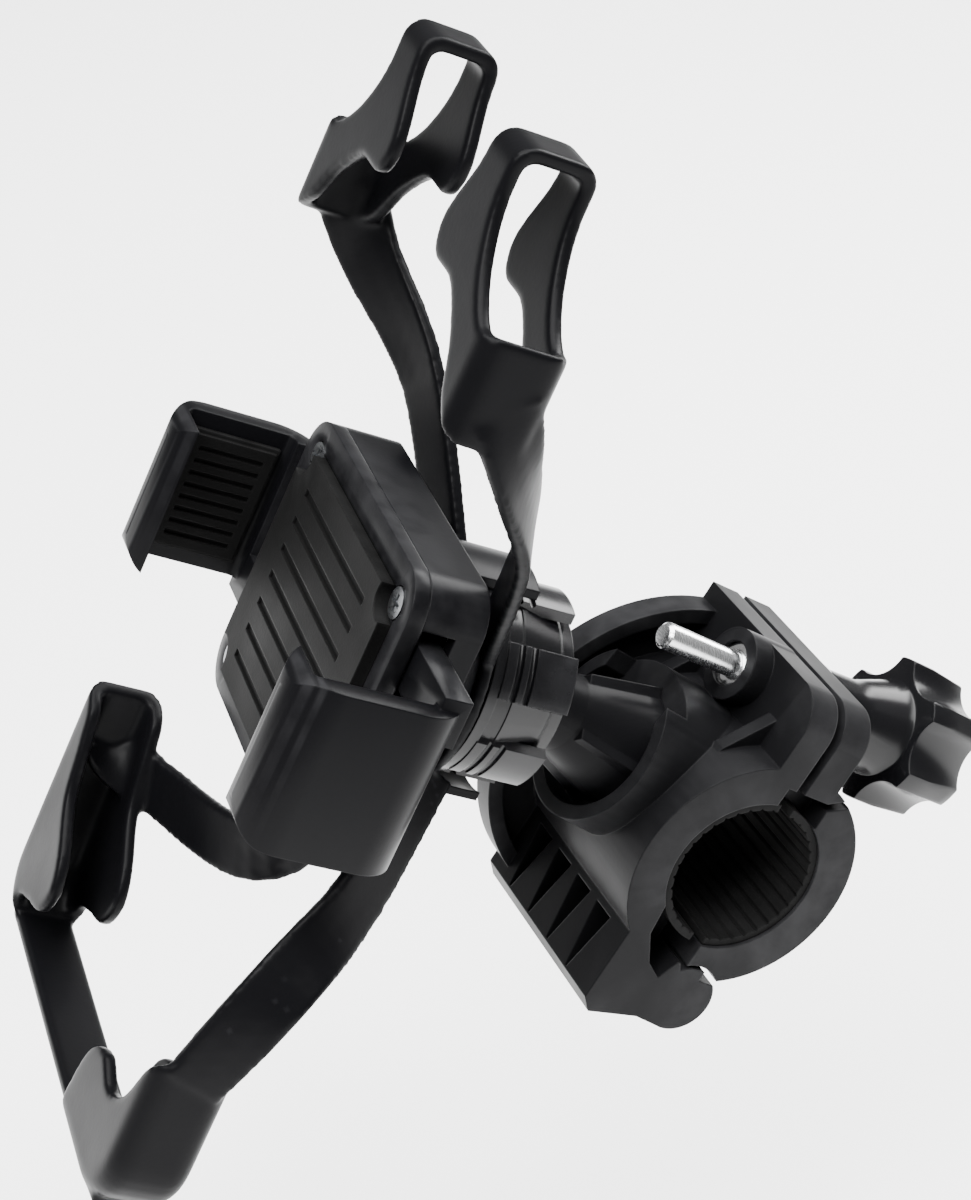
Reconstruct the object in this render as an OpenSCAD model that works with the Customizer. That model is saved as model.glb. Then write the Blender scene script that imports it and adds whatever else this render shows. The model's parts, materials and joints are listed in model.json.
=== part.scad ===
// Phone handlebar mount: a cradle with two geared jaws and a stretched silicone band,
// a ball joint with a lock collar, and a hinged handlebar clamp with a knob bolt.
// X runs along the handlebar, +Y points forward, away from the phone, +Z is up.
// The origin is on the handlebar's axis, at the middle of the clamp.

/* [Handlebar clamp] */
// Diameter of the handlebar that the rubber liners grip
bar_d = 22.2; // [21.5:0.1:22.8]
// Thickness of each rubber liner
liner_t = 1.3; // [1:0.1:1.6]
// Length of the clamp along the handlebar
clamp_len = 36; // [34:1:40]
// Outer diameter of the clamp barrel
barrel_d = 37; // [36:0.5:39]
// Gap between the two halves where the bolt pulls them together
split_gap = 1.6; // [1.2:0.2:2]
// Height of the clamp bolt above the handlebar's axis
bolt_h = 23.7; // [23:0.1:25]
// Diameter of the clamp bolt
bolt_d = 4; // [3.8:0.1:4.2]
// Diameter of the plastic knob over its lobes
knob_d = 23; // [21:1:24]

// Angle by which the clamp is rolled about the handlebar
clamp_roll = 34.6; // [25:0.1:45]

/* [Ball joint] */
// Diameter of the ball
ball_d = 17; // [16:0.5:18]
// Height of the ball's centre above the handlebar's axis
ball_h = 8.1; // [6:0.1:10]
// Distance of the ball's centre from the handlebar's axis
ball_reach = 42.5; // [42:0.5:46]
// Tilt of the cradle about the handlebar direction
cradle_tilt = 9.4; // [0:0.1:12]
// Spin of the cradle about its own back-to-front axis
cradle_spin = 2; // [0:0.1:4]
// Turn of the cradle about the vertical
cradle_turn = -5.9; // [-8:0.1:0]

/* [Cradle] */
// Width of the cradle housing
housing_w = 54; // [52:1:58]
// Height of the cradle housing
housing_h = 44; // [42:1:48]
// Gap between the two jaws, the width of the held phone
jaw_gap = 75; // [70:1:82]
// Height of each jaw
jaw_h = 24; // [20:1:26]

/* [Silicone band] */
// Height of the held phone
phone_h = 150; // [140:1:156]
// Thickness of the held phone
phone_t = 8; // [7:0.5:9]
// Thickness of the silicone at the corners
band_t = 2; // [1.6:0.1:2.4]

/* [Hidden] */
$fn = 64;
e = 0.02;

// Clamp
bore_r = bar_d / 2 + liner_t;
barrel_r = barrel_d / 2;
half_len = clamp_len / 2;
half_gap = split_gap / 2;
hinge_y = 3.5;
hinge_z = -21.5;
knuckle_r = 5.4;
knuckle_gap = 0.35;
cap_knuckle = 17;
pin_r = 2;
run_gap = 0.06;
flange_t = 5.2;
flange_top = 29.2;
near_corner = 6;
far_corner = 8.5;
boss_r = 5.6;
boss_out = 9.6;
nut_af = 7;
nut_t = 3.2;
nut_y = -boss_out + 0.6;
bolt_tip = -23;
slot_play = 1.1;
washer_t = 1;
flange_out = half_gap + flange_t;
knob_neck = flange_out + washer_t;
knob_grip = knob_neck + 15;
knob_end = knob_grip + 10.8;
neck_flare = knob_neck + 7.5;
head_r = nut_af / sqrt(3);
knob_lobes = 6;
block_y = -12.2;
block_z = -28;
slot_pitch = 7;

// Ball joint
ball_r = ball_d / 2;
ball_y = -ball_reach;
boss_y = -14;
boss_z = 5.2;
stem_tilt = atan2(ball_h - boss_z, ball_reach + boss_y);
stem_len = (ball_reach + boss_y) / cos(stem_tilt);
seat_y = -3.6;
neck_r = 4.4;
cone_y = seat_y - 1;
ridge_r = 10.6;
ring_out = 13.4;
ring_in = 11.2;
ring_edge = -8.8;
rib_r = 27;
rib_t = 4.6;
cup_t = 1.4;
ball_gap = 0.08;
socket_r = ball_r + ball_gap + cup_t + ball_gap;
collar_r = 14.5;
thread_r = 12.2;
thread_gap = 0.12;
collar_front = -8.6;
collar_back = 4.6;
collar_step = -4.4;
mouth_r = 10.2;
ring_back = 3;
cup_edge = -5;

// Cradle, in its own axes with the ball's centre as origin
phone_back = -32.6;
phone_front = phone_back - phone_t;
phone_mid = 2.8;
cushion_t = 2;
cover_back = phone_back + cushion_t + 2.4;
arm_y = cover_back + 0.5;
arm_t = 4;
rear_floor = arm_y + arm_t + 2;
housing_back = rear_floor + 2.2;
case_r = 6;
lug_w = 11;
screw_x = housing_w / 2 - 5.4;
screw_z = housing_h / 2 - 5.4;
jaw_wall = 3.6;
jaw_front = phone_front - 6.7;
jaw_lip = 3.4;
jaw_pad_t = 1.6;
arm_h = 10.4;
arm_z = 8.6;
arm_tip = -14.8;
arm_root = 37;
tab_x = -3;
button_w = 12;
shelf_z = -15.8;
latch_x = 11;
rack_low = 5.3;

// Rack and pinion: module 1 gear with 12 teeth between two racks
teeth = 12;
tooth_pitch = PI;
pitch_r = teeth / 2;
pressure_angle = 20;
tooth_half = tooth_pitch / 4 - 0.09;
tooth_h = 0.9;
rack_h = 0.68;
root_cut = 1.05;
rack_teeth = 5;
pinion_t = 3.4;

// A box with its four edges along Y rounded
module plate(w, h, y0, y1, r) {
  translate([0, y1, 0]) rotate([90, 0, 0]) linear_extrude(y1 - y0) rounded(w, h, r);
}

module rounded(w, h, r) {
  square([w - 2 * r, h], center = true);
  square([w, h - 2 * r], center = true);
  for (x = [-1, 1], z = [-1, 1])
    translate([x * (w / 2 - r), z * (h / 2 - r)]) circle(r);
}

// Cylinder along Y from y0 to y1
module rod_y(r, y0, y1, r2 = -1) {
  translate([0, y0, 0]) rotate([-90, 0, 0]) cylinder(h = y1 - y0, r1 = r, r2 = r2 < 0 ? r : r2);
}

// Cylinder along X, centred
module rod_x(r, len) {
  rotate([0, 90, 0]) cylinder(h = len, r = r, center = true);
}

// Moves the cradle's own axes to their place on the ball
module on_ball() {
  on_bar() translate([0, ball_y, ball_h]) rotate([cradle_tilt, cradle_spin, cradle_turn]) children();
}

// Rolls the whole mount about the handlebar, as it sits on a motorcycle
module on_bar() {
  rotate([-clamp_roll, 0, 0]) children();
}

// ---- Clamp ----

// Outline of one clamp half seen along the handlebar: barrel, flange and edges
module half_outline(side) {
  intersection() {
    union() {
      circle(barrel_r);
      translate([side < 0 ? -half_gap - flange_t : half_gap, 0])
        square([flange_t, flange_top]);
    }
    translate([side < 0 ? -40 : half_gap, -barrel_r]) square([40 - half_gap, 60]);
  }
}

// Sweeps a Y-Z outline along the handlebar
module along_bar(len) {
  rotate([90, 0, 90]) translate([0, 0, -len / 2]) linear_extrude(len) children();
}

// Rounds the flange's upper corners
module flange_corner_cut() {
  corner_cut(1, near_corner);
  corner_cut(-1, far_corner);
}

module corner_cut(x, r) {
  difference() {
    translate([x * half_len, 0, flange_top]) cube([2 * r, 40, 2 * r], center = true);
    translate([x * (half_len - r), 0, flange_top - r]) rotate([90, 0, 0])
      cylinder(h = 42, r = r, center = true);
    translate([x * (half_len - r) - r, 0, flange_top - r]) cube([2 * r, 42, 4 * r], center = true);
    translate([x * (half_len - r), 0, flange_top - 2 * r]) cube([4 * r, 42, 2 * r], center = true);
  }
}

// Space for the other half's hinge knuckle
module knuckle_space(len) {
  translate([0, hinge_y, hinge_z]) rod_x(knuckle_r + 0.6, len);
}

module block_outline() {
  polygon([[block_y, -9], [block_y, block_z + 2], [block_y + 2, block_z], [-1.8, block_z + 1.6],
           [hinge_y, hinge_z - knuckle_r], [hinge_y, hinge_z], [-2, -14], [-4, -8]]);
}

module clamp_body() {
  color("#1c1c1d") on_bar()
  difference() {
    union() {
      along_bar(clamp_len) half_outline(-1);
      intersection() {
        along_bar(clamp_len) block_outline();
        translate([0, 0, hinge_z]) cube([clamp_len, 60, 40], center = true);
      }
      translate([0, hinge_y, hinge_z]) rod_x(knuckle_r, clamp_len);
      translate([0, 0, bolt_h]) rod_y(boss_r, -boss_out, -half_gap);
      stem_boss();
      far_rib();
      flange_gussets();
    }
    rod_x(bore_r, clamp_len + 2);
    translate([-2, hinge_y, hinge_z]) rod_x(pin_r, clamp_len - 1.8);
    intersection() {
      knuckle_space(cap_knuckle + 2 * knuckle_gap);
      translate([0, 10 - 3, -20]) cube([60, 20, 30], center = true);
    }
    cap_sweep_space();
    flange_corner_cut();
    translate([0, 0, bolt_h]) rod_y(bolt_d / 2 + 0.3, -20, 5);
    translate([0, 0, bolt_h]) nut_space();
    block_slots();
    end_pocket();
    gap_pocket();
    stem_seat();
  }
}

// Clears the cap's half of the barrel and its knuckle web
module cap_sweep_space() {
  translate([0, 30 - half_gap, 18]) cube([60, 60, 68], center = true);
  translate([0, 30 + hinge_y + 1, -16]) cube([60, 60, 3.6], center = true);
}

module nut_space() {
  translate([0, nut_y, 0]) rotate([-90, 30, 0]) cylinder(h = nut_t + 0.1, r = nut_af / sqrt(3), $fn = 6);
  rod_y(nut_af / 2, -boss_out - 1, nut_y + e);
}

// Ribs that brace the body's flange against the barrel
module flange_gussets() {
  for (x = [-1, 1])
    translate([x * 10.5, 0, 0]) along_bar(2.4)
      polygon([[-half_gap, 12], [-13, 12], [-11.5, 15], [-flange_t - half_gap, 22], [-half_gap, 22]]);
}

// Wedge-shaped pockets in the hinge block's outer face
module block_slots() {
  for (i = [-1.5:1:1.5])
    translate([i * slot_pitch, block_y - e, 0]) rotate([-90, 0, 0])
      linear_extrude(5) polygon([[-2.3, 15.2], [2.3, 15.2], [0.2, 25.6], [-0.2, 25.6]]);
}

// Recess in the near end, between the barrel and the hinge
module end_pocket() {
  for (x = [-1, 1])
    translate([x * (half_len - 3.5 + e), 0, 0]) along_bar(7)
      polygon([[-9.6, -5.5], [-8.6, -13.2], [-5.6, -17.6], [-2.6, -19.4],
               [-1, -16], [3, -14.6], [3.6, -8]]);
}

// Recess in the near end, where the gap between the halves meets the bore
module gap_pocket() {
  translate([half_len - 4, -2.3, 11]) cube([5, 8.6, 4.2]);
  translate([half_len - 2.5, 5, 13.4]) rotate([28, 0, 0]) cube([3, 5, 1.3]);
}

// Large round rib at the far end, with a raised rim
module far_rib() {
  intersection() {
    difference() {
      translate([-half_len + rib_t / 2, 0, 0]) rod_x(rib_r, rib_t);
      translate([-half_len + 2.2 + rib_t / 2, 0, 0]) rod_x(rib_r - 2.4, rib_t);
    }
    translate([0, -half_gap - 30, 0]) cube([60, 60, 60], center = true);
    translate([0, 0, 9]) cube([60, 60, 76], center = true);
  }
}

// Round boss that carries the stem, and the seat cut in it
module stem_axis() {
  translate([0, boss_y, boss_z]) rotate([-stem_tilt, 0, 0]) children();
}

module stem_boss() {
  stem_axis() rod_y(ring_out, ring_edge, 6);
}

module stem_seat() {
  stem_axis() {
    rod_y(ring_in, -20, cone_y);
    rod_y(8.6, -20, seat_y);
    rod_y(2.2, -10, 10);
    rod_y(4.6, -1.5, 20);
    translate([0, cone_y - 20, 14]) cube([17, 40, 16], center = true);
  }
}

module ball_stem() {
  color("#161617") on_bar()
  stem_axis() difference() {
    union() {
      rod_y(8.5, cone_y - 1, seat_y);
      rod_y(neck_r, -stem_len, 11.6 - stem_len, 6);
      rod_y(6, 11.5 - stem_len, cone_y, 9.4);
      stem_ridges();
      translate([0, -stem_len, 0]) sphere(ball_r);
    }
    rod_y(1.72, -16, seat_y + 1);
    rod_y(2.6, -stem_len - ball_r - 1, -stem_len - ball_r + 2.4);
  }
}

// Four straight ridges that run down the stem's cone
module stem_ridges() {
  translate([0, 12 - stem_len, 0]) rotate([-90, 0, 0])
    cylinder(h = stem_len - 12 + cone_y, r1 = 7.2, r2 = ridge_r, $fn = 4);
}

module stem_screw() {
  color("#b9bcc0") on_bar()
  stem_axis() difference() {
    union() {
      rod_y(1.7, -15, -0.4);
      rod_y(3.4, -0.58, 1.3);
    }
    rotate([-90, 0, 0]) translate([0, 0, 0.2]) cylinder(h = 3, r = 1.6, $fn = 6);
  }
}

module stem_washer() {
  color("#a4a7ab") on_bar()
  stem_axis() difference() {
    rod_y(4.2, -1.5 + e, -0.6);
    rod_y(1.8, -3, 3);
  }
}

module clamp_cap() {
  color("#1c1c1d") on_bar()
  difference() {
    union() {
      along_bar(clamp_len) half_outline(1);
      cap_knuckle_web();
      cap_gussets();
    }
    rod_x(bore_r, clamp_len + 2);
    gap_pocket();
    translate([0, hinge_y, hinge_z]) rod_x(pin_r + run_gap, clamp_len + 2);
    for (x = [-1, 1])
      translate([x * (cap_knuckle / 2 + 10), 0, 0]) knuckle_space(20);
    flange_corner_cut();
    bolt_slot();
  }
}

module cap_knuckle_web() {
  translate([0, hinge_y, hinge_z]) rod_x(knuckle_r, cap_knuckle);
  along_bar(cap_knuckle)
    polygon([[1.6, -14], [hinge_y - 1, hinge_z], [hinge_y + knuckle_r, hinge_z], [14, -11], [10, -9]]);
}

module cap_gussets() {
  for (x = [-1, 1])
    translate([x * 11.5, 0, 0]) along_bar(2.4)
      polygon([[half_gap, 12], [half_gap, 28], [flange_out, 28], [flange_out + 5.6, 14]]);
}

// Upright slot that lets the cap swing while the bolt stays in line
module bolt_slot() {
  for (z = [-slot_play, slot_play])
    translate([0, 0, bolt_h + z]) rod_y(bolt_d / 2 + 0.35, -2, 20);
  translate([0, 8, bolt_h]) cube([bolt_d + 0.7, 20, 2 * slot_play], center = true);
}

// Half sleeve of ribbed rubber inside each half
module liner_half(side) {
  gap = half_gap + 0.4;
  difference() {
    rod_x(bore_r - 0.02, clamp_len - 1);
    rod_x(bar_d / 2, clamp_len);
    translate([0, -side * 20 + side * gap, 0]) cube([60, 40, 60], center = true);
    for (a = [0:10:350])
      rotate([a, 0, 0]) translate([0, 0, bar_d / 2]) rotate([0, 90, 0])
        cylinder(h = clamp_len, r = 0.35, center = true, $fn = 4);
  }
}

module body_liner() {
  color("#101010") on_bar() difference() {
    liner_half(-1);
    rotate([28, 0, 0]) translate([0, 0, -20]) cube([60, 12, 30], center = true);
  }
}

module cap_liner() {
  color("#101010") on_bar() liner_half(1);
}

module hinge_pin() {
  color("#8f9296") on_bar()
  translate([-2, hinge_y, hinge_z]) rod_x(pin_r, clamp_len - 2);
}

module clamp_bolt() {
  color("#d4d6d8") on_bar()
  translate([0, 0, bolt_h]) {
    rod_y(bolt_d / 2 - 0.5, bolt_tip, bolt_tip + 0.5, bolt_d / 2);
    rod_y(bolt_d / 2, bolt_tip + 0.5 - e, knob_grip);
    bolt_head();
  }
}

module bolt_head() {
  translate([0, knob_grip - 1, 0]) rotate([-90, 0, 0]) cylinder(h = 3.5, r = head_r, $fn = 6);
}

module clamp_nut() {
  color("#e2e3e4") on_bar()
  translate([0, nut_y, bolt_h]) difference() {
    rotate([-90, 30, 0]) cylinder(h = nut_t, r = nut_af / sqrt(3), $fn = 6);
    rod_y(bolt_d / 2 + 0.05, -1, nut_t + 1);
  }
}

module knob_washer() {
  color("#c3c5c8") on_bar()
  translate([0, 0, bolt_h]) difference() {
    rod_y(5.4, flange_out + e, knob_neck - e);
    rod_y(bolt_d / 2 + run_gap, 0, 20);
  }
}

module knob_profile() {
  difference() {
    circle(knob_d / 2);
    for (a = [0:360 / knob_lobes:359])
      rotate(a + 180 / knob_lobes) translate([knob_d / 2 + 3.4, 0]) circle(6);
  }
}

module knob() {
  color("#19191a") on_bar()
  translate([0, 0, bolt_h]) difference() {
    union() {
      rod_y(5, knob_neck, neck_flare, 5.2);
      rod_y(5.2, neck_flare - e, knob_grip + 1, 8);
      intersection() {
        translate([0, knob_end, 0]) rotate([90, 15, 0]) linear_extrude(knob_end - knob_grip) knob_profile();
        rod_y(knob_d / 2 + 0.4, knob_grip, knob_end, knob_d / 2 - 0.6);
      }
    }
    rod_y(bolt_d / 2, 0, knob_grip + 2);
    bolt_head();
  }
}

// ---- Ball joint ----

// Zone of a thin spherical shell between two heights along Y
module shell_zone(y0, y1) {
  rotate([-90, 0, 0]) rotate_extrude() intersection() {
    difference() {
      circle(ball_r + ball_gap + cup_t);
      circle(ball_r + ball_gap);
    }
    translate([0, y0]) square([30, y1 - y0]);
  }
}

module friction_ring() {
  color("#2b2b2d") on_ball() shell_zone(-0.6, ring_back);
}

module ball_cup() {
  color("#3a3a3c") on_ball() difference() {
    shell_zone(-30, cup_edge);
    rod_y(3, -30, 0);
  }
}

module lock_collar() {
  color("#181819")
  on_ball() difference() {
    union() {
      rod_y(collar_r - 0.8, collar_front, collar_step);
      rod_y(collar_r - 0.6, collar_step - e, collar_back, collar_r - 2.6);
      rod_y(collar_r, collar_front, collar_front + 1.6);
      for (a = [0:60:359]) rotate([0, a, 0]) intersection() {
        rod_y(collar_r + 0.2, collar_front, collar_back - 0.8);
        translate([0, -1.6, collar_r]) cube([8, 11, 4], center = true);
      }
    }
    rod_y(thread_r + thread_gap, collar_front - 1, 2.7);
    sphere(socket_r);
    rod_y(8, 3, collar_back + e, mouth_r);
    for (y = [-3, -5])
      translate([0, y, 0]) rotate([90, 0, 0]) rotate_extrude()
        translate([collar_r + 0.1, 0]) circle(0.5, $fn = 16);
  }
}

// ---- Cradle ----

// Puts a piece at each of the cover's four screws
module at_screws() {
  for (x = [-1, 1], z = [-1, 1]) translate([x * screw_x, 0, z * screw_z]) children();
}

// Tapered rear shell with the threaded socket for the ball
module back_housing() {
  color("#1a1a1b")
  on_ball() {
    difference() {
      union() {
        plate(housing_w, housing_h, cover_back, housing_back, case_r);
        hull() {
          plate(housing_w - 6, housing_h - 4, housing_back - 1, housing_back - 0.9, case_r);
          rod_y(14.6, collar_front - 2.6, collar_front - 2.5);
        }
        rod_y(13.4, collar_front - 3, collar_front - 0.6);
        rod_y(thread_r, collar_front - 1, 2.6);
        band_lugs();
      }
      plate(housing_w - 4.4, housing_h - 4.4, cover_back - 1, rear_floor, case_r - 2.2);
      jaw_windows();
      sphere(socket_r);
      rod_y(socket_r, 0, 20);
      rod_y(1.5, rear_floor - 1, rear_floor + 1.2);
      button_window();
      at_screws() rod_y(0.92, cover_back - 1, rear_floor + 1.4);
    }
    at_screws() difference() {
      rod_y(2.6, cover_back, rear_floor + 0.5);
      rod_y(0.92, cover_back - 1, rear_floor + 1.4);
    }
    translate([-4, arm_y, shelf_z]) cube([8, rear_floor - arm_y + 1, 0.8]);
  }
}

// Two curved lugs that keep the band's middle around the collar
module band_lugs() {
  for (a = [0, 180]) rotate([0, a, 0]) intersection() {
    difference() {
      rod_y(17.6, collar_front - 8, a == 0 ? -3.6 : 1.5);
      rod_y(16.3, collar_front - 9, 3);
    }
    translate([0, 0, 17]) cube([lug_w, 60, 8], center = true);
  }
}

// Openings in the side walls for the jaws' arms
module jaw_windows() {
  for (s = [-1, 1])
    translate([s * housing_w / 2, arm_y + arm_t / 2, s * (arm_z + 2)])
      cube([10, arm_t + 0.8, arm_h + 0.4], center = true);
}

// Opening in the lower wall for the release button
module button_window() {
  translate([0, arm_y + arm_t / 2, -housing_h / 2]) cube([button_w + 0.6, 4, 8], center = true);
}

module front_cover() {
  color("#1d1d1e")
  on_ball() difference() {
    plate(housing_w, housing_h, phone_back + cushion_t, cover_back - e, case_r);
    plate(housing_w - 8, housing_h - 8, phone_back + 1, phone_back + cushion_t + 0.6, case_r - 2);
    at_screws() {
      rod_y(1.35, phone_back, cover_back + 1);
      rod_y(2.4, phone_back, phone_back + cushion_t + 1.2);
    }
    rod_y(1.5, cover_back - 1, cover_back + 1);
  }
}

module cushion_pad() {
  color("#0e0e0e")
  on_ball() difference() {
    plate(housing_w - 8.4, housing_h - 8.4, phone_back + 0.2, phone_back + cushion_t + 0.6 - e, case_r - 2);
    at_screws() rod_y(3, phone_back - 1, phone_back + 8);
    for (z = [-3:1:3])
      translate([0, phone_back + 0.2, z * 4.4]) cube([housing_w - 22, 0.8, 1.2], center = true);
  }
}

module cover_screws() {
  color("#6f7276")
  on_ball() at_screws() difference() {
    union() {
      rod_y(2.2, phone_back + cushion_t - 0.1, phone_back + cushion_t + 1.2 - e);
      rod_y(0.9, phone_back + cushion_t + 1, rear_floor + 0.5);
    }
    for (a = [0, 90])
      rotate([0, a, 0]) translate([0, phone_back + cushion_t, 0]) cube([0.6, 1, 2.6], center = true);
  }
}

// One jaw at the right-hand side: wall, rounded lip, curved back and toothed arm
module jaw_shape() {
  inner = jaw_gap / 2 + jaw_pad_t;
  outer = inner + jaw_wall;
  back = arm_y + arm_t;
  intersection() {
    linear_extrude(jaw_h, center = true) difference() {
      jaw_outline(inner - jaw_lip, outer, jaw_front, back, 6.5);
      jaw_outline(inner - 30, inner, jaw_front + 2.6, arm_y, 1.2);
      translate([0, arm_y - 1]) square([arm_root, 30]);
    }
    translate([0, jaw_front, 0]) rotate([0, 90, 0]) linear_extrude(outer + 1)
      jaw_side(jaw_h, back - jaw_front);
  }
  arm_with_rack(arm_root);
}

// Side view of the jaw wall with rounded front corners
module jaw_side(h, depth) {
  r = 4;
  translate([-h / 2, r]) square([h, depth - r + 1]);
  translate([-h / 2 + r, 0]) square([h - 2 * r, depth]);
  for (z = [-1, 1]) translate([z * (h / 2 - r), r]) circle(r);
}

// C-shaped section seen along the jaw's height
module jaw_outline(x0, x1, y0, y1, r) {
  translate([x0, y0]) square([x1 - x0 - r, y1 - y0]);
  translate([x0, y0 + r]) square([x1 - x0, y1 - y0 - 2 * r]);
  for (y = [y0 + r, y1 - r]) translate([x1 - r, y]) circle(r);
}

// Flat arm above the gear with a rack along its lower edge
module arm_with_rack(root_x) {
  arm_low = pitch_r + root_cut;
  arm_top = arm_z + arm_h / 2;
  translate([arm_tip, arm_y, arm_low]) cube([root_x + 1 - arm_tip, arm_t, arm_top - arm_low]);
  translate([root_x, arm_y, jaw_h / 2 - 5]) cube([3, arm_t, arm_top - jaw_h / 2 + 5]);
  for (i = [-rack_teeth + 1:rack_teeth])
    translate([i * tooth_pitch, arm_y, arm_low]) rack_tooth();
}

// Straight-sided tooth pointing down at the gear
module rack_tooth() {
  slope = tan(pressure_angle);
  base = tooth_half + root_cut * slope;
  tip = tooth_half - rack_h * slope;
  depth = root_cut + rack_h;
  rotate([-90, 0, 0]) linear_extrude(arm_t)
    polygon([[-base, -0.2], [-base, 0], [-tip, depth], [tip, depth], [base, 0], [base, -0.2]]);
}

// The right jaw also has the tab that the spring pushes on
module right_jaw() {
  color("#151516") on_ball() {
    jaw_shape();
    translate([tab_x, arm_y, arm_z + arm_h / 2 - 1]) cube([1.6, arm_t, 5.6]);
  }
}

module left_jaw() {
  color("#151516") on_ball() rotate([0, 180, 0]) jaw_shape();
}

module jaw_pad() {
  inner = jaw_gap / 2 + jaw_pad_t;
  translate([inner - 0.92, jaw_front + 3.9, -jaw_h / 2 + 2.4]) cube([0.9, 14.2, jaw_h - 4.8]);
  translate([inner - jaw_pad_t, jaw_front + 4.4, -jaw_h / 2 + 3]) difference() {
    cube([0.7, 13.2, jaw_h - 6]);
    for (i = [1:8]) translate([-e, 1.5, i * (jaw_h - 6) / 9 - 0.4]) cube([0.5, 10.2, 0.8]);
  }
}

module right_jaw_pad() {
  color("#0f0f0f") on_ball() jaw_pad();
}

module left_jaw_pad() {
  color("#0f0f0f") on_ball() rotate([0, 180, 0]) jaw_pad();
}

// Involute function, and half the angle of a gear tooth at radius r
function inv(a) = tan(a) * 180 / PI - a;
function tooth_half_angle(r) =
  tooth_half / pitch_r * 180 / PI + inv(pressure_angle) - inv(acos(min(1, base_r / r)));
base_r = pitch_r * cos(pressure_angle);

module gear_tooth() {
  radii = [base_r, base_r + 0.4, base_r + 0.8, pitch_r + tooth_h];
  flank = [for (r = radii) [r * sin(tooth_half_angle(r)), r * cos(tooth_half_angle(r))]];
  root = [[flank[0][0], pitch_r - root_cut - 0.3]];
  mirrored = [for (p = concat(root, flank)) [-p[0], p[1]]];
  polygon(concat(root, flank, [for (i = [len(mirrored) - 1:-1:0]) mirrored[i]]));
}

module pinion() {
  color("#d8d8d2")
  on_ball() difference() {
    translate([0, arm_y + 0.3 + pinion_t, 0]) rotate([90, 0, 0]) linear_extrude(pinion_t) {
      circle(pitch_r - root_cut);
      for (i = [0:teeth - 1]) rotate((i + 0.5) * 360 / teeth) gear_tooth();
    }
    rod_y(1.5 + run_gap, -60, 0);
  }
}

module pinion_pin() {
  color("#9a9da1")
  on_ball() rod_y(1.5, cover_back - 0.9, rear_floor + 1.2);
}

// Coil of wire along X, as a row of rings joined by a thin core
module spring_x(r, wire, x0, x1, turns) {
  step = (x1 - x0 - wire) / turns;
  for (i = [0:turns])
    translate([x0 + wire / 2 + i * step, 0, 0]) rotate([0, 90, 0]) rotate_extrude($fn = 24)
      translate([r, 0]) circle(wire / 2, $fn = 8);
  translate([(x0 + x1) / 2, 0, r]) rod_x(wire / 2.5, x1 - x0 - wire);
}

module jaw_spring() {
  color("#b5b8bc")
  on_ball() translate([0, arm_y + arm_t / 2, screw_z]) spring_x(1.3, 0.5, 2.65 - screw_x, tab_x - 0.05, 10);
}

module button_spring() {
  color("#b5b8bc")
  on_ball() translate([0, arm_y + arm_t / 2, 0]) rotate([0, -90, 0])
    spring_x(1, 0.4, -housing_h / 2 + 2.7, shelf_z - 0.1, 3);
}

// Push button with a bar that reaches past the arms to the latch tooth
module release_button() {
  color("#222224")
  on_ball() {
    translate([-button_w / 2, arm_y + 0.2, -housing_h / 2 - 1.6]) cube([button_w, 3.6, 4.2]);
    translate([latch_x - 2, arm_y + arm_t + 0.3, -housing_h / 2 + 2.6 - e]) cube([4, 1.3, 15]);
    translate([-button_w / 2, arm_y + 3.4, -housing_h / 2 + 2.5])
      cube([latch_x + 2 + button_w / 2, 2.2, 1.2]);
    translate([latch_x - 2, arm_y + 1, -rack_low + 0.15]) cube([4, arm_t + 0.6, 1.4]);
  }
}

// ---- Silicone band ----

// Thin skin around the held phone
module phone_skin() {
  translate([0, 0, phone_mid]) difference() {
    plate(jaw_gap + 2 * band_t, phone_h + 2 * band_t, phone_front - band_t, phone_back + band_t, 10);
    plate(jaw_gap, phone_h, phone_front, phone_back, 8);
  }
}

// Front view of one corner cup: a tongue along the edge and a shorter side
module corner_zone(sx, sz, near, side) {
  x = jaw_gap / 2 + band_t + 0.5;
  z = phone_h / 2 + band_t + 0.5;
  r = 3;
  scale([sx, 1, sz]) translate([0, 0, sz * phone_mid]) rotate([90, 0, 0]) linear_extrude(120, center = true)
    difference() {
      union() {
        polygon([[x, z], [x - 27, z], [x - 27, z - 8], [x - 22, z - 12], [x - 7, z - side], [x, z - side]]);
        translate([x - 24.3, z - 8.6]) circle(r);
        translate([x - 27, z - 8.6]) square([r, r]);
      }
      polygon([[x + 1, z + 1], [x - near, z + 1], [x + 1, z - near]]);
    }
}

// Flat tapered strap from the middle ring to a corner
module band_arm(sx, sz) {
  hull() {
    translate([sx * 13.4, collar_front - 1.6, sz * 13.2]) rotate([90, 0, 0])
      cylinder(h = 1.6, r = 4, center = true, $fn = 24);
    translate([sx * 31.5, phone_back + 1.1, phone_mid + sz * (phone_h / 2 - 14)]) rotate([90, 0, 0])
      cylinder(h = 1.8, r = 3, center = true, $fn = 24);
  }
}

module silicone_band() {
  color("#121212")
  on_ball() {
    intersection() {
      phone_skin();
      union() {
        for (sx = [-1, 1]) {
          corner_zone(sx, 1, 9, 23);
          corner_zone(sx, -1, 2, 30);
        }
        translate([0, (phone_front + phone_back) / 2, phone_mid - phone_h / 2 - 3])
          cube([jaw_gap - 10, phone_t + 0.8, 8], center = true);
      }
    }
    difference() {
      union() {
        for (sx = [-1, 1], sz = [-1, 1]) band_arm(sx, sz);
        rod_y(16.1, collar_front - 2.4, collar_front - 0.8);
      }
      rod_y(13.6, -40, 0);
    }
  }
}

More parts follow.
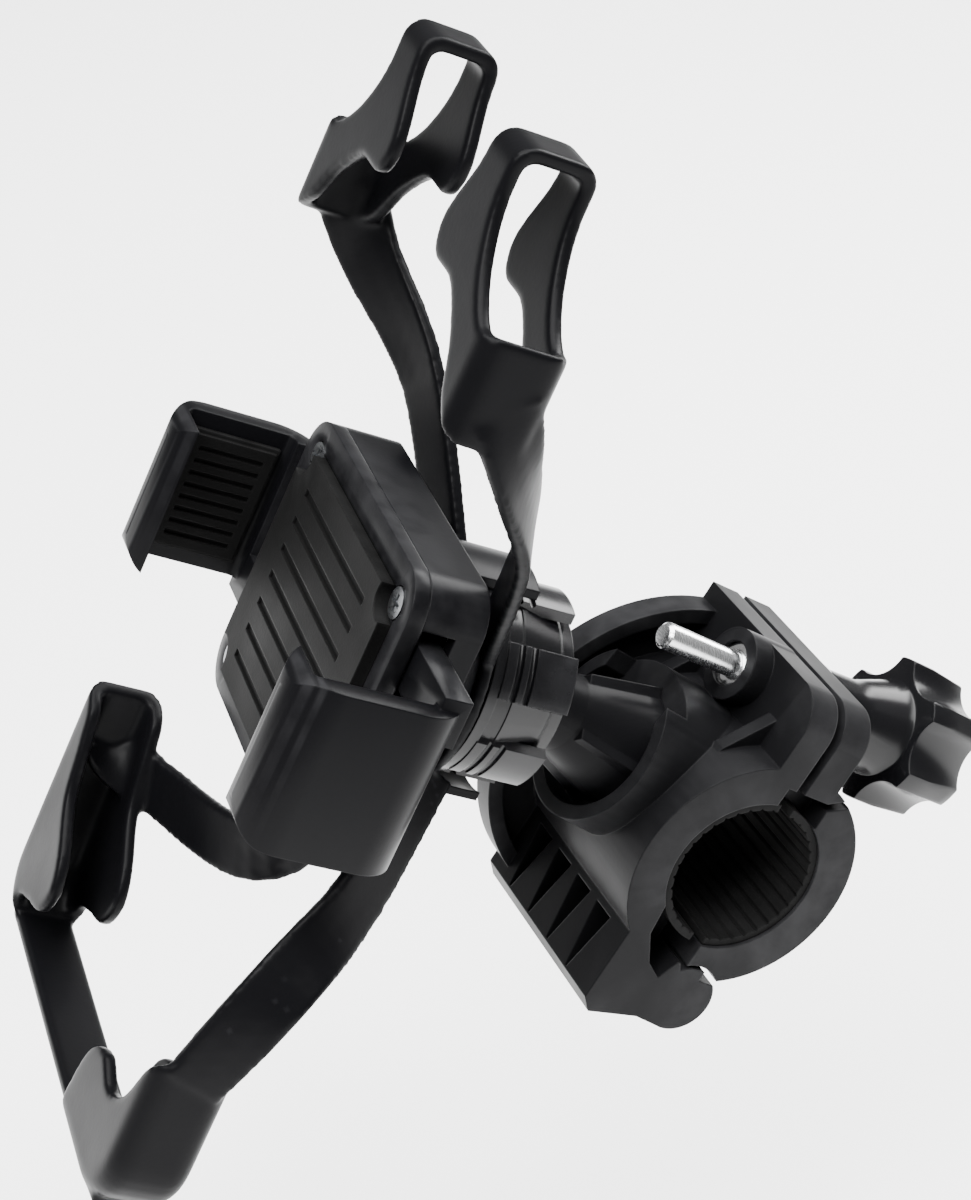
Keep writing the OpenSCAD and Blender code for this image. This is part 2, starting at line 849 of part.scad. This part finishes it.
clamp_body();
clamp_cap();
body_liner();
cap_liner();
hinge_pin();
clamp_bolt();
knob();
knob_washer();
clamp_nut();
ball_stem();
stem_screw();
stem_washer();
ball_cup();
friction_ring();
lock_collar();
back_housing();
front_cover();
cushion_pad();
left_jaw();
right_jaw();
left_jaw_pad();
right_jaw_pad();
pinion();
pinion_pin();
jaw_spring();
release_button();
button_spring();
cover_screws();
silicone_band();
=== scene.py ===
import json
import math

import bmesh
import bpy
from mathutils import Euler, Matrix, Vector


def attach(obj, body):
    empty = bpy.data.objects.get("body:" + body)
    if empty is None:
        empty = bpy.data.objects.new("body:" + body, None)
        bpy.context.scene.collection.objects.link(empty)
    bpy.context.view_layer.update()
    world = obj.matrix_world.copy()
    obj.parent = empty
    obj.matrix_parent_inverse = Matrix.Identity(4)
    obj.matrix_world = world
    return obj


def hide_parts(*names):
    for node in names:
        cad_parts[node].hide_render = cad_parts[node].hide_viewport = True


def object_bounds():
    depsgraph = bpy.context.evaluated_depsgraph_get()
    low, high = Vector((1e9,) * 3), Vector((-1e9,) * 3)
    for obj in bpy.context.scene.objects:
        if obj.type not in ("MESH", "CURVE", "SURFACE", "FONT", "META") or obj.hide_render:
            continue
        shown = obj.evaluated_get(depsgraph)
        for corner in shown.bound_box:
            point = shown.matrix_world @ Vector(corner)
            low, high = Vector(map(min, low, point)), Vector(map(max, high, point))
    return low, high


MM = 0.001

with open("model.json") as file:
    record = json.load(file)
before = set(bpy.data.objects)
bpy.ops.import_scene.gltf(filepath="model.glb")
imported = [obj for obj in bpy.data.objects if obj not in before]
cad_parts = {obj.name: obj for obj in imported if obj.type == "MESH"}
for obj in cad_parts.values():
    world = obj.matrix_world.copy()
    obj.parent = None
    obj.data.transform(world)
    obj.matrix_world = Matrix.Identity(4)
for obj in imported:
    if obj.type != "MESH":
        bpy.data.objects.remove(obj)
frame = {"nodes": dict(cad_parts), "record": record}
cad_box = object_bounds()

# ---- The mount's own axes, as in the part's source, in millimetres ----
CLAMP_ROLL, CRADLE_TILT, CRADLE_SPIN, CRADLE_TURN = -34.6, 9.4, 2, -5.9
BALL = Vector((0, -42.5, 8.1))


def turned(x=0, y=0, z=0):
    return Euler((math.radians(x), math.radians(y), math.radians(z)), "XYZ").to_matrix().to_4x4()


CLAMP = Matrix.Scale(MM, 4) @ turned(x=CLAMP_ROLL)
CRADLE = CLAMP @ Matrix.Translation(BALL) @ turned(CRADLE_TILT, CRADLE_SPIN, CRADLE_TURN)


# ---- Materials ----
def new_material(name, colour, roughness, metallic=0.0):
    mat = bpy.data.materials.new(name)
    mat.use_nodes = True
    nodes = mat.node_tree.nodes
    shader = nodes["Principled BSDF"]
    shader.inputs["Base Color"].default_value = (*colour, 1)
    shader.inputs["Roughness"].default_value = roughness
    shader.inputs["Metallic"].default_value = metallic
    shader.inputs["Specular IOR Level"].default_value = 0.055
    return mat, nodes, mat.node_tree.links, shader


def noise(nodes, links, scale, detail=4.0, stretch=(1, 1, 1)):
    place = nodes.new("ShaderNodeTexCoord")
    mapping = nodes.new("ShaderNodeMapping")
    mapping.inputs["Scale"].default_value = stretch
    tex = nodes.new("ShaderNodeTexNoise")
    tex.inputs["Scale"].default_value = scale
    tex.inputs["Detail"].default_value = detail
    links.new(place.outputs["Object"], mapping.inputs["Vector"])
    links.new(mapping.outputs["Vector"], tex.inputs["Vector"])
    return tex.outputs["Fac"]


def spread(nodes, links, value, low, high):
    span = nodes.new("ShaderNodeMapRange")
    span.inputs["From Min"].default_value = 0.3
    span.inputs["From Max"].default_value = 0.7
    span.inputs["To Min"].default_value = low
    span.inputs["To Max"].default_value = high
    links.new(value, span.inputs["Value"])
    return span.outputs["Result"]


def plastic(name, colour, worn, rough, grain, depth, coat=0.0):
    """Moulded plastic or rubber: fine grain, uneven gloss, edges rounded in shading and rubbed lighter."""
    mat, nodes, links, shader = new_material(name, colour, rough)
    gloss = spread(nodes, links, noise(nodes, links, 60, 5), rough - 0.06, rough + 0.08)
    links.new(gloss, shader.inputs["Roughness"])
    shape = nodes.new("ShaderNodeNewGeometry")
    edge = nodes.new("ShaderNodeMapRange")
    edge.inputs["From Min"].default_value = 0.54
    edge.inputs["From Max"].default_value = 0.66
    links.new(shape.outputs["Pointiness"], edge.inputs["Value"])
    blotch = nodes.new("ShaderNodeMath")
    blotch.operation = "MULTIPLY"
    links.new(edge.outputs["Result"], blotch.inputs[0])
    links.new(spread(nodes, links, noise(nodes, links, 240, 3), 0.2, 1.0), blotch.inputs[1])
    mix = nodes.new("ShaderNodeMix")
    mix.data_type = "RGBA"
    mix.inputs["A"].default_value = (*colour, 1)
    mix.inputs["B"].default_value = (*worn, 1)
    links.new(blotch.outputs["Value"], mix.inputs["Factor"])
    links.new(mix.outputs["Result"], shader.inputs["Base Color"])
    bump = nodes.new("ShaderNodeBump")
    bump.inputs["Strength"].default_value = depth
    bump.inputs["Distance"].default_value = 0.0001
    rounding = nodes.new("ShaderNodeBevel")
    rounding.samples = 6
    rounding.inputs["Radius"].default_value = 0.35 * MM
    links.new(rounding.outputs["Normal"], bump.inputs["Normal"])
    links.new(noise(nodes, links, grain, 3), bump.inputs["Height"])
    links.new(bump.outputs["Normal"], shader.inputs["Normal"])
    shader.inputs["Coat Weight"].default_value = coat
    shader.inputs["Coat Roughness"].default_value = 0.25
    return mat


def steel(name, colour, rough, stretch):
    """Turned or drawn metal with fine lines along one direction."""
    mat, nodes, links, shader = new_material(name, colour, rough, 1.0)
    lines = noise(nodes, links, 900, 2, stretch)
    links.new(spread(nodes, links, lines, rough - 0.05, rough + 0.12), shader.inputs["Roughness"])
    bump = nodes.new("ShaderNodeBump")
    bump.inputs["Strength"].default_value = 0.12
    bump.inputs["Distance"].default_value = 0.00005
    links.new(lines, bump.inputs["Height"])
    links.new(bump.outputs["Normal"], shader.inputs["Normal"])
    return mat


BLACK, BLACK_WORN = (0.0025, 0.0025, 0.003), (0.012, 0.012, 0.013)

# name: colour, worn edge colour, roughness, grain scale, grain depth, clear coat
PLASTICS = {
    "clamp_plastic": ((0.0045, 0.0045, 0.005), (0.016, 0.016, 0.017), 0.4, 1400, 0.12),
    "stem_plastic": ((0.0035, 0.0035, 0.004), (0.014, 0.014, 0.015), 0.36, 1200, 0.1),
    "housing_plastic": (BLACK, BLACK_WORN, 0.33, 1600, 0.08),
    "knob_plastic": (BLACK, BLACK_WORN, 0.2, 900, 0.06, 0.4),
    "cup_plastic": ((0.03, 0.03, 0.03), (0.06, 0.06, 0.06), 0.35, 1200, 0.1),
    "gear_plastic": ((0.6, 0.6, 0.57), (0.7, 0.7, 0.68), 0.4, 900, 0.1),
    "liner_rubber": ((0.004, 0.004, 0.004), (0.008, 0.008, 0.008), 0.7, 2200, 0.25),
    "pad_rubber": ((0.003, 0.003, 0.003), (0.009, 0.009, 0.009), 0.55, 2200, 0.2),
    "band_silicone": (BLACK, (0.008, 0.008, 0.009), 0.36, 1500, 0.1),
}
MATS = {name: plastic(name, *look) for name, look in PLASTICS.items()}
MATS.update({
    "bright_steel": steel("bright_steel", (0.78, 0.79, 0.8), 0.2, (1, 14, 1)),
    "plated_nut": steel("plated_nut", (0.85, 0.85, 0.85), 0.12, (1, 1, 1)),
    "dark_steel": steel("dark_steel", (0.3, 0.31, 0.32), 0.3, (1, 6, 1)),
    "spring_steel": steel("spring_steel", (0.6, 0.6, 0.62), 0.25, (1, 1, 8)),
})


# ---- Edge rounding for the CAD pieces ----
def smooth_group():
    """Geometry nodes that shade a mesh smooth except across edges sharper than 30 degrees."""
    group = bpy.data.node_groups.new("smooth_sides", "GeometryNodeTree")
    group.interface.new_socket("Geometry", in_out="INPUT", socket_type="NodeSocketGeometry")
    group.interface.new_socket("Geometry", in_out="OUTPUT", socket_type="NodeSocketGeometry")
    add, link = group.nodes.new, group.links.new
    start, end = add("NodeGroupInput"), add("NodeGroupOutput")
    strip = add("GeometryNodeRemoveAttribute")
    strip.inputs["Name"].default_value = "custom_normal"
    faces, edges = add("GeometryNodeSetShadeSmooth"), add("GeometryNodeSetShadeSmooth")
    edges.domain = "EDGE"
    edges.inputs["Shade Smooth"].default_value = False
    angle, sharp = add("GeometryNodeInputMeshEdgeAngle"), add("FunctionNodeCompare")
    sharp.data_type = "FLOAT"
    sharp.operation = "GREATER_THAN"
    sharp.inputs["B"].default_value = math.radians(30)
    link(start.outputs[0], strip.inputs["Geometry"])
    link(strip.outputs["Geometry"], faces.inputs["Geometry"])
    link(faces.outputs["Geometry"], edges.inputs["Geometry"])
    link(angle.outputs["Unsigned Angle"], sharp.inputs["A"])
    link(sharp.outputs["Result"], edges.inputs["Selection"])
    link(edges.outputs["Geometry"], end.inputs[0])
    return group


SMOOTH = smooth_group()


def shade(obj):
    obj.modifiers.new("smooth", "NODES").node_group = SMOOTH


def soften(obj, width):
    """Joins the flat faces' triangles, rounds the sharp edges and shades the rest smooth."""
    weld = obj.modifiers.new("weld", "WELD")
    weld.merge_threshold = 2e-6
    join = obj.modifiers.new("join", "DECIMATE")
    join.decimate_type = "DISSOLVE"
    join.angle_limit = math.radians(0.6)
    bevel = obj.modifiers.new("bevel", "BEVEL")
    bevel.width = width * MM
    bevel.segments = 2
    bevel.limit_method = "ANGLE"
    bevel.angle_limit = math.radians(40)
    bevel.miter_outer = "MITER_ARC"
    flat = obj.modifiers.new("flat", "TRIANGULATE")
    flat.min_vertices = 5
    shade(obj)


EDGES = {
    "knob": 0.5, "front_cover": 0.4, "left_jaw": 0.5, "right_jaw": 0.5, "clamp_nut": 0.25,
    "knob_washer": 0.15, "release_button": 0.3, "clamp_bolt": 0.2,
}
slots = {s["node"]: s["material_slot"] for s in frame["record"]["subparts"]}
for name, node in frame["nodes"].items():
    for i in range(max(1, len(node.material_slots))):
        if not node.material_slots:
            node.data.materials.append(None)
        node.material_slots[i].material = MATS[slots[name]]
    if name in EDGES:
        soften(node, EDGES[name])
    else:
        shade(node)


# ---- Silicone band: corner cups, bottom strap, four straps and the middle ring, in cradle millimetres ----
PHONE_W, PHONE_LOW, PHONE_HIGH, PHONE_FRONT, PHONE_BACK = 75, -72.2, 77.8, -40.6, -32.6
BAND_WALL = 2.0
STRAP_W, STRAP_T = 9, 2
BAND_VOXEL, BAND_RELAX = 0.4, 14


def part_of(name, form):
    mesh = bpy.data.meshes.new(name)
    bmesh.ops.recalc_face_normals(form, faces=form.faces)
    form.to_mesh(mesh)
    form.free()
    obj = bpy.data.objects.new(name, mesh)
    bpy.context.scene.collection.objects.link(obj)
    return obj


def between(a, b, c, d, t):
    """Point of a smooth curve at share t of the way from b to c."""
    return 0.5 * (2 * b + (c - a) * t + (2 * a - 5 * b + 4 * c - d) * t * t
                  + (3 * b - a - 3 * c + d) * t ** 3)


def smooth_loop(points, steps=6):
    """Closed curve through the points."""
    out = []
    count = len(points)
    for i in range(count):
        a, b, c, d = (Vector(points[(i + k) % count]) for k in (-1, 0, 1, 2))
        out.extend(between(a, b, c, d, j / steps) for j in range(steps))
    return out


def prism(name, outline, front, back):
    """Solid with the given X-Z outline, between two planes across Y."""
    form = bmesh.new()
    near = [form.verts.new((p[0], front, p[1])) for p in outline]
    far = [form.verts.new((p[0], back, p[1])) for p in outline]
    form.faces.new(near)
    form.faces.new(list(reversed(far)))
    for i in range(len(outline)):
        j = (i + 1) % len(outline)
        form.faces.new((near[j], near[i], far[i], far[j]))
    return part_of(name, form)


def slab_outline(grow, radius):
    """Phone outline seen from the front, grown by a margin."""
    wide, low, high = PHONE_W / 2 + grow, PHONE_LOW - grow, PHONE_HIGH + grow
    out = []
    for x, z, start in ((1, 1, 0), (-1, 1, 90), (-1, -1, 180), (1, -1, 270)):
        cx, cz = x * (wide - radius), (high if z > 0 else low) - z * radius
        for k in range(9):
            turn = math.radians(start + k * 11.25)
            out.append((cx + radius * math.cos(turn), cz + radius * math.sin(turn)))
    return out


def cut(obj, tool, how):
    mod = obj.modifiers.new(how, "BOOLEAN")
    mod.object, mod.operation, mod.solver = tool, how, "EXACT"
    bpy.context.view_layer.update()
    result = bpy.data.meshes.new_from_object(obj.evaluated_get(bpy.context.evaluated_depsgraph_get()))
    obj.modifiers.clear()
    obj.data = result
    bpy.data.objects.remove(tool)


def slab(name, grow, radius, edge):
    """Phone-shaped block with rounded front and back edges."""
    form = bmesh.new()
    rows = []
    steps = 5
    front, back = PHONE_FRONT - grow, PHONE_BACK + grow
    for k in range(2 * steps + 2):
        turn = math.radians(90 * (k if k <= steps else k - steps - 1) / steps)
        inset = edge * (1 - math.sin(turn)) if k <= steps else edge * (1 - math.cos(turn))
        y = front + edge * (1 - math.cos(turn)) if k <= steps else back - edge * (1 - math.sin(turn))
        rows.append([form.verts.new((p[0], y, p[1])) for p in slab_outline(grow - inset, radius - inset)])
    for a, b in zip(rows, rows[1:]):
        for i in range(len(a)):
            j = (i + 1) % len(a)
            form.faces.new((a[i], a[j], b[j], b[i]))
    form.faces.new(rows[0])
    form.faces.new(list(reversed(rows[-1])))
    return part_of(name, form)


def lifted(outline):
    """Outlines are measured from the phone's middle height."""
    middle = (PHONE_LOW + PHONE_HIGH) / 2
    return [(x, z + middle) for x, z in outline]


def corner(name, outline, opening=None):
    piece = prism(name, smooth_loop(lifted(outline)), -50, -20)
    if opening:
        cut(piece, prism("opening", smooth_loop(lifted(opening)), -60, -10), "DIFFERENCE")
    cut(piece, slab("outside", BAND_WALL, 10, 3), "INTERSECT")
    cut(piece, slab("phone_space", 0, 8, 1.6), "DIFFERENCE")
    return piece


def ribbon(name, points, width, thick):
    """Flat strap through the points; every point carries its width direction."""
    path = [Vector(p) for p, _ in points]
    across = [Vector(w) for _, w in points]
    form = bmesh.new()
    rings = []
    steps = 8
    for i in range(len(path) - 1):
        quad = [path[max(i - 1, 0)], path[i], path[i + 1], path[min(i + 2, len(path) - 1)]]
        for j in range(steps + (i == len(path) - 2)):
            t = j / steps
            a, b, c, d = quad
            spot = between(a, b, c, d, t)
            run = 0.5 * ((c - a) + 2 * (2 * a - 5 * b + 4 * c - d) * t + 3 * (3 * b - a - 3 * c + d) * t * t)
            run.normalize()
            side = across[i].lerp(across[i + 1], t)
            side = (side - run * side.dot(run)).normalized()
            flat = run.cross(side)
            ring = []
            for k in range(12):
                turn = 2 * math.pi * (k + 0.5) / 12
                u = max(-1, min(1, 1.5 * math.cos(turn))) * width / 2
                v = max(-1, min(1, 1.5 * math.sin(turn))) * thick / 2
                ring.append(form.verts.new(spot + side * u + flat * v))
            rings.append(ring)
    for a, b in zip(rings, rings[1:]):
        for i in range(len(a)):
            j = (i + 1) % len(a)
            form.faces.new((a[i], a[j], b[j], b[i]))
    form.faces.new(rings[0])
    form.faces.new(list(reversed(rings[-1])))
    return part_of(name, form)


def hub_ring(name, inside, outside, front, back):
    form = bmesh.new()
    count = 64
    rows = []
    for radius, y in ((inside, front), (outside, front), (outside, back), (inside, back)):
        rows.append([form.verts.new((radius * math.cos(2 * math.pi * k / count), y,
                                     radius * math.sin(2 * math.pi * k / count))) for k in range(count)])
    for r in range(4):
        a, b = rows[r], rows[(r + 1) % 4]
        for k in range(count):
            j = (k + 1) % count
            form.faces.new((a[k], a[j], b[j], b[k]))
    return part_of(name, form)


def silicone_band():
    top = [(17, 82), (16, 72), (12.5, 64), (12.5, 60), (15, 57.5), (22, 57), (29, 52), (34, 46), (42, 42),
           (52, 42), (52, 92), (17, 92)]
    gap = [(42, 58), (36, 57), (30, 61), (26, 67), (25, 73), (26, 80), (30, 92), (60, 92), (60, 60)]
    low_left = [(-52, -38), (-36, -38), (-32, -44), (-29, -52), (-22, -58), (-19.5, -63), (-22, -68),
                (-28, -70), (-33, -73), (-33, -82), (-52, -90)]
    low_right = [(14, -84), (15, -70), (17, -64), (22, -61.5), (28, -63), (33, -60), (37, -52), (44, -48),
                 (52, -48), (52, -92), (16, -92)]
    mirror = [(-x, z) for x, z in top]
    mirror_gap = [(-x, z) for x, z in gap]
    pieces = [
        corner("cup_top_right", top, gap), corner("cup_top_left", mirror, mirror_gap),
        corner("cup_low_left", low_left), corner("cup_low_right", low_right),
        ribbon("bottom_strap", [
            ((-35, -36.6, PHONE_LOW - 1), (0, 1, 0)), ((0, -36.6, PHONE_LOW - 1.1), (0, 1, 0)),
            ((35, -36.6, PHONE_LOW - 1), (0, 1, 0))], STRAP_W, STRAP_T),
        ribbon("strap_top_right", [
            ((38.5, -36.4, 52), (0, 1, 0.1)), ((36.8, -29.6, 43), (-0.5, 0.4, 0.6)),
            ((27, -20, 31), (-0.7, 0, 0.7)), ((10.4, -10.3, 10.4), (-0.7, 0, 0.7))], STRAP_W, STRAP_T),
        ribbon("strap_top_left", [
            ((-38.5, -36.4, 52), (0, 1, 0.1)), ((-36.8, -29.6, 43), (0.5, 0.4, 0.6)),
            ((-25, -19, 31), (0.7, 0, 0.7)), ((-10.4, -10.3, 10.4), (0.7, 0, 0.7))], 10, STRAP_T),
        ribbon("strap_low_right", [
            ((38.8, -36.6, -50), (0, 1, 0)), ((38.2, -30, -32), (0.5, 0.5, -0.5)),
            ((27, -20, -23), (0.6, 0, -0.8)), ((10.4, -10.3, -10.4), (0.7, 0, -0.7))], STRAP_W, STRAP_T),
        ribbon("strap_low_left", [
            ((-38.8, -36.6, -44), (0, 1, 0)), ((-30, -29, -45), (0.2, 0, 1)),
            ((-5, -22, -38), (0.3, 0, 1)), ((7, -12.5, -21), (1, 0, 0.2)),
            ((4.6, -10.3, -14), (1, 0, 0.3))], STRAP_W, STRAP_T),
        hub_ring("hub", 13.6, 16.1, -11.2, -9.4),
    ]
    whole = bmesh.new()
    for piece in pieces:
        whole.from_mesh(piece.data)
        bpy.data.objects.remove(piece)
    band = part_of("silicone_band_soft", whole)
    remesh = band.modifiers.new("skin", "REMESH")
    remesh.mode, remesh.voxel_size = "VOXEL", BAND_VOXEL
    relax = band.modifiers.new("relax", "SMOOTH")
    relax.factor, relax.iterations = 0.5, BAND_RELAX
    bpy.context.view_layer.update()
    mesh = bpy.data.meshes.new_from_object(band.evaluated_get(bpy.context.evaluated_depsgraph_get()))
    band.modifiers.clear()
    band.data = mesh
    mesh.transform(CRADLE)
    mesh.shade_smooth()
    mesh.materials.clear()
    mesh.materials.append(MATS["band_silicone"])
    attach(band, "cradle")
    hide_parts("silicone_band")


silicone_band()


# ---- Floor, light and camera ----
def stage_floor():
    mesh = bpy.data.meshes.new("floor")
    form = bmesh.new()
    bmesh.ops.create_grid(form, x_segments=1, y_segments=1, size=6)
    form.to_mesh(mesh)
    floor = bpy.data.objects.new("floor", mesh)
    floor.location.z = cad_box[0].z - 0.09
    bpy.context.scene.collection.objects.link(floor)
    mat, nodes, links, shader = new_material("floor", (0.97, 0.97, 0.97), 0.7)
    links.new(spread(nodes, links, noise(nodes, links, 4), 0.66, 0.74), shader.inputs["Roughness"])
    mesh.materials.append(mat)


def area_light(name, place, target, size, power):
    light = bpy.data.lights.new(name, "AREA")
    light.shape = "RECTANGLE"
    light.size, light.size_y = size
    light.energy = power
    lamp = bpy.data.objects.new(name, light)
    lamp.location = place
    lamp.rotation_euler = (Vector(target) - Vector(place)).to_track_quat("-Z", "Y").to_euler()
    bpy.context.scene.collection.objects.link(lamp)


def stage():
    stage_floor()
    world = bpy.data.worlds.new("studio")
    world.use_nodes = True
    world.node_tree.nodes["Background"].inputs["Color"].default_value = (1, 1, 1, 1)
    world.node_tree.nodes["Background"].inputs["Strength"].default_value = 0.3
    bpy.context.scene.world = world
    middle = (0, -0.02, 0.04)
    area_light("overhead", (0, 0, 1.5), middle, (2, 2), 150)
    area_light("key", (0.35, -0.5, 0.75), middle, (0.3, 0.3), 8)
    area_light("rim", (-0.3, 0.6, 0.45), middle, (0.5, 0.3), 9)


def camera():
    data = bpy.data.cameras.new("camera")
    data.lens = 90
    data.sensor_width = 36
    cam = bpy.data.objects.new("camera", data)
    right = Vector((0.3813, 0.9244, 0.0008))
    back = Vector((0.7884, -0.3256, 0.5220))
    up = back.cross(right)
    turn = Matrix((right, up, back)).transposed().to_4x4()
    cam.matrix_world = Matrix.Translation((0.3277, -0.1684, 0.2617)) @ turn
    bpy.context.scene.collection.objects.link(cam)
    bpy.context.scene.camera = cam


stage()
camera()
